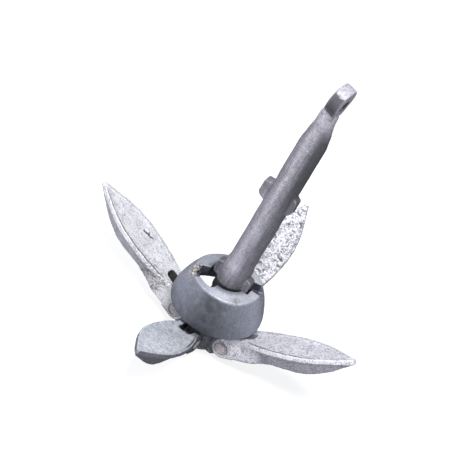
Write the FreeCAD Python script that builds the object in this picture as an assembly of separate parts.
# Folding grapnel anchor, hot-dip galvanised, nominal 1.5 kg size: a crown with
# four hinged flukes on rivets, a shank with an eye, and a loose sliding collar.
# Frame: millimetres, +Z up along the shank, origin at the centre of the
# crown's flat base. The flukes point (nearly) along +X, +Y, -X and -Y.
import FreeCAD, Part
import math
import os

Vector = FreeCAD.Vector
ORIGIN = Vector(0, 0, 0)
AXIS_X = Vector(1, 0, 0)
AXIS_Y = Vector(0, 1, 0)
AXIS_Z = Vector(0, 0, 1)
OVERCUT = 1.0           # cutting tools run this far past the faces they open

# Crown: hub casting with four hinge tongues
HUB_R = 13.0            # at the base
HUB_SHOULDER_Z = 13.0   # the hub narrows from here
HUB_NECK_Z = 19.0       # to here
HUB_NECK_R = 11.0       # where the shank stands on it
HUB_TOP_Z = 27.0
BASE_CHAMFER = 1.2
SPIGOT_R = 7.5          # shank spigot through the hub
SPIGOT_GAP = 0.03
SEAT_GAP = 0.02         # between the hub's top and the shank
PEEN_R = 9.6            # riveted-over end of the spigot
PEEN_GAP = 0.15
PEEN_DEPTH = 2.6
TONGUE_HALF = 4.5       # half thickness of a hinge tongue
TONGUE_R = 7.0          # rounded end of a tongue
WEB_INNER_R = 4.0       # a tongue's web starts here, inside the hub
WEB_FOOT_R = 15.6       # and its flat foot ends here

# Hinges and rivets
HINGE_R = 21.25         # hinge axis, distance from the shank axis
HINGE_Z = 12.8          # hinge axis, height above the base
RIVET_R = 3.6
RIVET_GAP = 0.05        # radial running clearance round a rivet
RIVET_HEAD_R = 4.0
RIVET_HEAD_OFF = 1.0    # heads are upset this far off centre, inwards and down
RIVET_HEAD_FILLET = 0.7
COUNTERBORE_R = 5.2
COUNTERBORE_DEPTH = 1.9

# Flukes, in their own frame: hinge along Y through the origin, X out along
# the flat face, Z the face's normal
FACE_Z = 10.6
LUG_R = 7.0
FORK_HALF = 8.8         # half width over the two cheeks
SLOT_HALF = 4.8         # half width of the slot for the tongue
SLOT_END_X = 24.2       # the slot runs out past the collar's rim
SLOT_END_R = 3.2        # corner radius at the slot's end
EDGE_T = 3.5            # thickness of the blade's rim
EDGE_BREAK = 0.5        # chamfer between face and rim
STEP_Z = 0.6            # height of the step below the rim
BLADE_START_X = 24.0    # the step under the rim is narrower before this x
# (x, z) outline of the root block that joins the lugs to the blade
ROOT = [
    (0.0, -LUG_R), (9.0, -LUG_R), (9.0, FACE_Z), (8.0, FACE_Z),
    (3.5, 9.0), (-2.5, 6.54), (-1.0, 0.0),
]
# blade stations: x, half width, depth below the face, belly half width
BLADE = [
    (8.6, 8.8, 17.6, 8.30),
    (15.5, 9.0, 17.8, 8.40),
    (23.0, 11.2, 17.6, 8.60),
    (31.0, 12.9, 16.0, 8.20),
    (40.0, 14.3, 15.1, 7.80),
    (49.0, 14.95, 16.0, 7.70),
    (58.0, 15.0, 16.7, 7.40),
    (67.0, 14.3, 16.3, 6.80),
    (76.0, 12.2, 14.4, 5.70),
    (84.5, 9.0, 11.6, 4.10),
    (92.0, 5.6, 7.8, 2.70),
    (97.5, 3.0, 5.2, 1.60),
    (101.4, 1.3, 3.2, 0.80),
]
# name, azimuth, rest tilt of the face above the horizontal
FLUKES = [
    ("right", 0.0, 31.0),
    ("back", 93.0, 34.3),
    ("left", 180.0, 18.0),
    ("front", 270.0, 18.5),
]

# Shank
SHANK_R = 9.5
BOSS_R = 10.4           # slight swelling that carries the lower nubs
BOSS_Z0 = 50.0
BOSS_Z1 = 74.0
BOSS_TAPER_LOW = 2.0    # lengths of the tapers into and out of the swelling
BOSS_TAPER_HIGH = 5.0
NUB_HALF = 3.6          # half width of a nub, tangentially
NUB_AZ = 2.0
# per nub pair: height, half height, reach from the axis on the +X and -X side
NUB_PAIRS = [
    (63.4, 6.6, (14.4, 14.4)),
    (139.0, 7.6, (12.4, 15.0)),
]
SHOULDER_Z = 187.0
NECK_Z = 209.0
# shoulder, neck and flare, as ellipses: z, centre x, half depth x, half width y
NECK_SECTIONS = [
    (SHOULDER_Z, 0.0, 9.25, 9.30),
    (SHOULDER_Z + 6.0, 0.0, 8.85, 9.00),
    (SHOULDER_Z + 11.5, -0.1, 8.20, 8.30),
    (SHOULDER_Z + 16.0, -0.3, 7.30, 7.60),
    (NECK_Z - 1.5, -0.6, 6.60, 7.30),
    (NECK_Z + 3.0, -0.8, 6.40, 7.50),
    (NECK_Z + 7.5, -0.7, 5.50, 7.80),
    (NECK_Z + 10.8, 0.0, 3.80, 7.00),
]

# Eye plate, its faces square to X
EYE_Z = 228.5           # centre of the round end
EYE_X = -0.3            # forged slightly off the shank's axis
EYE_LEAN = 5.0          # leans to +X above its foot
EYE_FOOT_Z = 217.0
EYE_HOLE_Z = 226.0      # centre of the shackle hole
EYE_HOLE_R = 4.2
EYE_R = 11.0
EYE_T = 9.0
EYE_CHAMFER = 0.8
# root of the plate: z, half depth x, half width y
EYE_ROOT = [
    (NECK_Z + 1.0, 3.0, 4.4),
    (NECK_Z + 7.5, EYE_T / 2, 7.8),
    (EYE_Z - 3.5, EYE_T / 2, 10.0),
]

# Collar, in its own frame: z from its bottom rim
COL_H = 26.0            # height of the outer wall
COL_BOTTOM_R = 33.6
COL_BOTTOM_T = 4.4
COL_TOP_R = 25.2
COL_BORE_R = 13.3       # bore of the top plate, round the shank
BORE_CHAMFER = 0.7
COL_TOP_Z = COL_H + 1.9     # the top plate rises towards the bore
PLATE_UNDER_Z = 21.0    # underside of the top plate
CUT_Z = PLATE_UNDER_Z - 0.4     # cuts through the plate start here
# (r, z) points of the curved walls, outer going up and inner going down
OUTER_WALL = [(COL_BOTTOM_R, 1.0), (32.7, 8.0), (30.1, 16.0), (27.8, 21.5), (COL_TOP_R, COL_H)]
INNER_WALL = [
    (18.0, PLATE_UNDER_Z), (23.2, 16.2), (27.3, 8.4), (COL_BOTTOM_R - COL_BOTTOM_T, 0),
]
KEY_AZ = 28.6           # the bayonet keyway runs across the bore
KEY_HALF = 4.4
KEY_OPEN_END = 30.0     # open through the rim on this side
KEY_CLOSED_END = 20.3
KEY_END_R = 1.6
# (x, y) outline, along the keyway, that widens its open end on one side
KEY_FLARE = [
    (12, -KEY_HALF + 0.6), (23, -KEY_HALF - 2.6), (31, -KEY_HALF - 3.6), (31, 0), (12, 0),
]
# (x, y) outline of the wide relief on the plate's -X -Y side
RELIEF = [
    (0.0, 0.0), (-19.4, -9.0), (-19.0, -12.6), (-15.4, -16.0), (-11.5, -17.8),
    (-7.0, -18.9), (-3.4, -19.2), (-1.9, -17.9), (-1.2, -15.0), (-0.6, -11.0),
]
NUB_PASS = 0.9          # clearance round the nubs where they pass the plate
COL_TILT_RIGHT = 3.7    # the loose collar sits askew: +X side raised
COL_TILT_BACK = 3.2     # and +Y side raised
COL_POSITION = Vector(0.3, 0.2, 32.6)   # centre of the bottom rim


# Helpers
def turned(shape, azimuth):
    copy = shape.copy()
    copy.rotate(ORIGIN, AXIS_Z, azimuth)
    return copy


def polygon(vectors):
    return Part.makePolygon(vectors + [vectors[0]])


def revolve(points):
    """Solid of revolution about Z from (r, z) points."""
    face = Part.Face(polygon([Vector(r, 0, z) for r, z in points]))
    return face.revolve(ORIGIN, AXIS_Z, 360)


def y_prism(points, half):
    """Prism from (x, z) points, reaching `half` either side of y = 0."""
    face = Part.Face(polygon([Vector(x, -half, z) for x, z in points]))
    return face.extrude(Vector(0, 2 * half, 0))


def y_cylinder(radius, x, z, y0, y1):
    return Part.makeCylinder(radius, y1 - y0, Vector(x, y0, z), AXIS_Y)


def box(x0, x1, y0, y1, z0, z1):
    return Part.makeBox(x1 - x0, y1 - y0, z1 - z0, Vector(x0, y0, z0))


def round_end(block, x_end, half, radius):
    """Round the two upright edges of a block at x = x_end, y = +-half."""
    edges = [
        e for e in block.Edges
        if abs(e.CenterOfMass.x - x_end) < 1e-6 and abs(abs(e.CenterOfMass.y) - half) < 1e-6
    ]
    return block.makeFillet(radius, edges)


def place_hinged(shape, azimuth, tilt):
    """Tilt a shape about its hinge and set it on the crown."""
    copy = shape.copy()
    copy.rotate(ORIGIN, -AXIS_Y, tilt)
    copy.translate(Vector(HINGE_R, 0, HINGE_Z))
    return turned(copy, azimuth)


def export(shape, name):
    if len(shape.Solids) == 1:
        shape = shape.Solids[0]
    shape.exportStep("parts/%s.step" % name)


def make_crown():
    crown = revolve([
        (0, 0), (HUB_R - BASE_CHAMFER, 0), (HUB_R, BASE_CHAMFER), (HUB_R, HUB_SHOULDER_Z),
        (HUB_NECK_R, HUB_NECK_Z), (HUB_NECK_R, HUB_TOP_Z), (0, HUB_TOP_Z),
    ])
    tongue_top = HINGE_Z + TONGUE_R
    for _, azimuth, _ in FLUKES:
        web = y_prism([
            (WEB_INNER_R, 0.0), (WEB_FOOT_R, 0.0), (HINGE_R, HINGE_Z - TONGUE_R),
            (HINGE_R, tongue_top), (HUB_NECK_R - 2.0, tongue_top), (WEB_INNER_R, tongue_top),
        ], TONGUE_HALF)
        end = y_cylinder(TONGUE_R, HINGE_R, HINGE_Z, -TONGUE_HALF, TONGUE_HALF)
        crown = crown.fuse(turned(web.fuse(end), azimuth))
    reach = TONGUE_HALF + OVERCUT
    for _, azimuth, _ in FLUKES:
        hole = y_cylinder(RIVET_R + RIVET_GAP, HINGE_R, HINGE_Z, -reach, reach)
        crown = crown.cut(turned(hole, azimuth))
    bore_r = SPIGOT_R + SPIGOT_GAP
    bore = Part.makeCylinder(bore_r, HUB_TOP_Z + 2 * OVERCUT, Vector(0, 0, -OVERCUT))
    crown = crown.cut(bore)
    crown = crown.cut(Part.makeCone(PEEN_R + SPIGOT_GAP, bore_r, PEEN_DEPTH, ORIGIN))
    return crown.removeSplitter()


def make_nub(z, half_z, reach):
    """Cam-shaped nub on the +X side, with sloped top and bottom flanks."""
    root = SHANK_R - 3
    skin = SHANK_R - 0.4
    return y_prism([
        (root, z - half_z - 1.2), (skin, z - half_z),
        (reach - 1.4, z - half_z + 1.6), (reach, z - half_z + 4.0),
        (reach, z + half_z - 2.6), (reach - 0.8, z + half_z - 1.2),
        (skin, z + half_z), (root, z + half_z + 0.4),
    ], NUB_HALF)


def eye_root_section(z, half_x, half_y):
    """Rectangle with chamfered corners."""
    x_in = half_x - EYE_CHAMFER
    y_in = half_y - EYE_CHAMFER
    corners = [
        (x_in, -half_y), (half_x, -y_in), (half_x, y_in), (x_in, half_y),
        (-x_in, half_y), (-half_x, y_in), (-half_x, -y_in), (-x_in, -half_y),
    ]
    return polygon([Vector(x, y, z) for x, y in corners])


def make_eye():
    eye = Part.makeCylinder(EYE_R, EYE_T, Vector(-EYE_T / 2, 0, EYE_Z), AXIS_X)
    eye = eye.makeChamfer(EYE_CHAMFER, [e for e in eye.Edges if e.Closed])
    eye = eye.fuse(Part.makeLoft([eye_root_section(*row) for row in EYE_ROOT], True, True))
    eye.rotate(Vector(0, 0, EYE_FOOT_Z), AXIS_Y, EYE_LEAN)
    eye.translate(Vector(EYE_X, 0, 0))
    return eye


def neck_section(z, x, half_x, half_y):
    """Ellipse with its long axis along Y."""
    ellipse = Part.Ellipse(Vector(x, half_y, z), Vector(x + half_x, 0, z), Vector(x, 0, z))
    return Part.Wire(ellipse.toShape())


def make_shank():
    seat_z = HUB_TOP_Z + SEAT_GAP
    shank = revolve([
        (0, 0), (PEEN_R - PEEN_GAP, 0), (SPIGOT_R, PEEN_DEPTH), (SPIGOT_R, seat_z),
        (SHANK_R, seat_z), (SHANK_R, BOSS_Z0 - BOSS_TAPER_LOW), (BOSS_R, BOSS_Z0),
        (BOSS_R, BOSS_Z1), (SHANK_R, BOSS_Z1 + BOSS_TAPER_HIGH),
        (SHANK_R, SHOULDER_Z), (0, SHOULDER_Z),
    ])
    for side, azimuth in enumerate((0, 180)):
        for z, half_z, reaches in NUB_PAIRS:
            nub = make_nub(z, half_z, reaches[side])
            shank = shank.fuse(turned(nub, azimuth + NUB_AZ))
    neck = Part.makeLoft([neck_section(*row) for row in NECK_SECTIONS], True, False)
    shank = shank.fuse(neck).fuse(make_eye())
    # the shackle hole runs level, not along the leaning plate's normal
    shank = shank.cut(Part.makeCylinder(EYE_HOLE_R, 40, Vector(-20, 0, EYE_HOLE_Z), AXIS_X))
    return shank.removeSplitter()


def blade_section(x, half, depth, belly_half):
    """Flat face and upright rim, then a side sloping in to the belly."""
    rim_z = FACE_Z - min(EDGE_T, depth - 0.6)
    inset = 0.35 if x < BLADE_START_X else min(1.5, 0.12 * half)
    belly_z = FACE_Z - depth
    side = [
        (half - EDGE_BREAK, FACE_Z),
        (half, FACE_Z - EDGE_BREAK),
        (half, rim_z),
        (half - inset, rim_z - STEP_Z),
        (belly_half, belly_z + 1.4 * min(1, depth / 8)),
        (belly_half - 1.2 * min(1, belly_half / 6), belly_z),
    ]
    mirrored = [(-y, z) for y, z in reversed(side)]
    return polygon([Vector(x, y, z) for y, z in side + mirrored])


def make_fluke():
    """Fluke in its own frame."""
    blade = Part.makeLoft([blade_section(*row) for row in BLADE], True, True)
    lug = y_cylinder(LUG_R, 0, 0, -FORK_HALF, FORK_HALF)
    fluke = blade.fuse(y_prism(ROOT, FORK_HALF).fuse(lug))
    slot = box(-20, SLOT_END_X, -SLOT_HALF, SLOT_HALF, -20, 20)
    fluke = fluke.cut(round_end(slot, SLOT_END_X, SLOT_HALF, SLOT_END_R))
    reach = FORK_HALF + OVERCUT
    fluke = fluke.cut(y_cylinder(RIVET_R + RIVET_GAP, 0, 0, -reach, reach))
    floor = FORK_HALF - COUNTERBORE_DEPTH
    for y0, y1 in ((-reach, -floor), (floor, reach)):
        fluke = fluke.cut(y_cylinder(COUNTERBORE_R, 0, 0, y0, y1))
    return fluke.removeSplitter()


def make_rivet():
    """Rivet along Y through the origin."""
    floor = FORK_HALF - COUNTERBORE_DEPTH
    shaft_end = floor + 0.3
    head_start = floor + 0.1
    head_end = FORK_HALF - 0.2
    rivet = y_cylinder(RIVET_R, 0, 0, -shaft_end, shaft_end)
    offset = RIVET_HEAD_OFF / math.sqrt(2)
    for sign in (-1, 1):
        y0, y1 = sorted((sign * head_start, sign * head_end))
        head = y_cylinder(RIVET_HEAD_R, -offset, -offset, y0, y1)
        outer_rim = [
            e for e in head.Edges
            if e.Closed and abs(e.CenterOfMass.y - sign * head_end) < 1e-6
        ]
        rivet = rivet.fuse(head.makeFillet(RIVET_HEAD_FILLET, outer_rim))
    return rivet.removeSplitter()


def profile_lines(points):
    """Straight edges through (r, z) points."""
    vectors = [Vector(r, 0, z) for r, z in points]
    return [Part.makeLine(start, end) for start, end in zip(vectors, vectors[1:])]


def profile_spline(points):
    """One smooth edge through (r, z) points."""
    curve = Part.BSplineCurve()
    curve.interpolate([Vector(r, 0, z) for r, z in points])
    return curve.toShape()


def plate_cutter(points):
    """Upright prism from (x, y) points, starting just below the top plate."""
    face = Part.Face(polygon([Vector(x, y, CUT_Z) for x, y in points]))
    return face.extrude(Vector(0, 0, 20))


def make_collar():
    edges = profile_lines([INNER_WALL[-1], (COL_BOTTOM_R - 0.9, 0), OUTER_WALL[0]])
    edges.append(profile_spline(OUTER_WALL))
    edges += profile_lines([
        OUTER_WALL[-1], (COL_TOP_R - 1.0, COL_H + 1.05),
        (COL_BORE_R + BORE_CHAMFER, COL_TOP_Z), (COL_BORE_R, COL_TOP_Z - BORE_CHAMFER),
        (COL_BORE_R, PLATE_UNDER_Z), INNER_WALL[0],
    ])
    edges.append(profile_spline(INNER_WALL))
    collar = Part.Face(Part.Wire(edges)).revolve(ORIGIN, AXIS_Z, 360)

    # bayonet keyway, the flare at its open end, and the relief beside it
    cut_top = COL_TOP_Z + 5
    key = box(-KEY_CLOSED_END, KEY_OPEN_END, -KEY_HALF, KEY_HALF, CUT_Z, cut_top)
    key = round_end(key, -KEY_CLOSED_END, KEY_HALF, KEY_END_R)
    collar = collar.cut(turned(key, KEY_AZ))
    collar = collar.cut(turned(plate_cutter(KEY_FLARE), KEY_AZ))
    collar = collar.cut(plate_cutter(RELIEF))
    # shallow hollow in the rim beyond the keyway's closed end
    hollow = box(-KEY_CLOSED_END - 12, -KEY_CLOSED_END - 0.6,
                 -KEY_HALF - 4.0, KEY_HALF - 0.8, COL_TOP_Z - 2.4, cut_top)
    collar = collar.cut(turned(hollow, KEY_AZ))

    collar.rotate(ORIGIN, -AXIS_Y, COL_TILT_RIGHT)
    collar.rotate(ORIGIN, AXIS_X, COL_TILT_BACK)
    collar.translate(COL_POSITION)

    # room for the shank's nubs to pass the plate, cut square to the shank
    reach = max(max(reaches) for _, _, reaches in NUB_PAIRS) + NUB_PASS
    half = NUB_HALF + NUB_PASS
    rim_z = COL_POSITION.z
    passage = box(-reach, reach, -half, half, rim_z + 16, rim_z + COL_H + 12)
    return collar.cut(turned(passage, NUB_AZ)).removeSplitter()


os.makedirs("parts", exist_ok=True)
export(make_crown(), "crown")
export(make_shank(), "shank")
fluke = make_fluke()
rivet = make_rivet()
for name, azimuth, tilt in FLUKES:
    export(place_hinged(fluke, azimuth, tilt), "fluke_" + name)
    export(place_hinged(rivet, azimuth, 0.0), "rivet_" + name)
export(make_collar(), "collar")
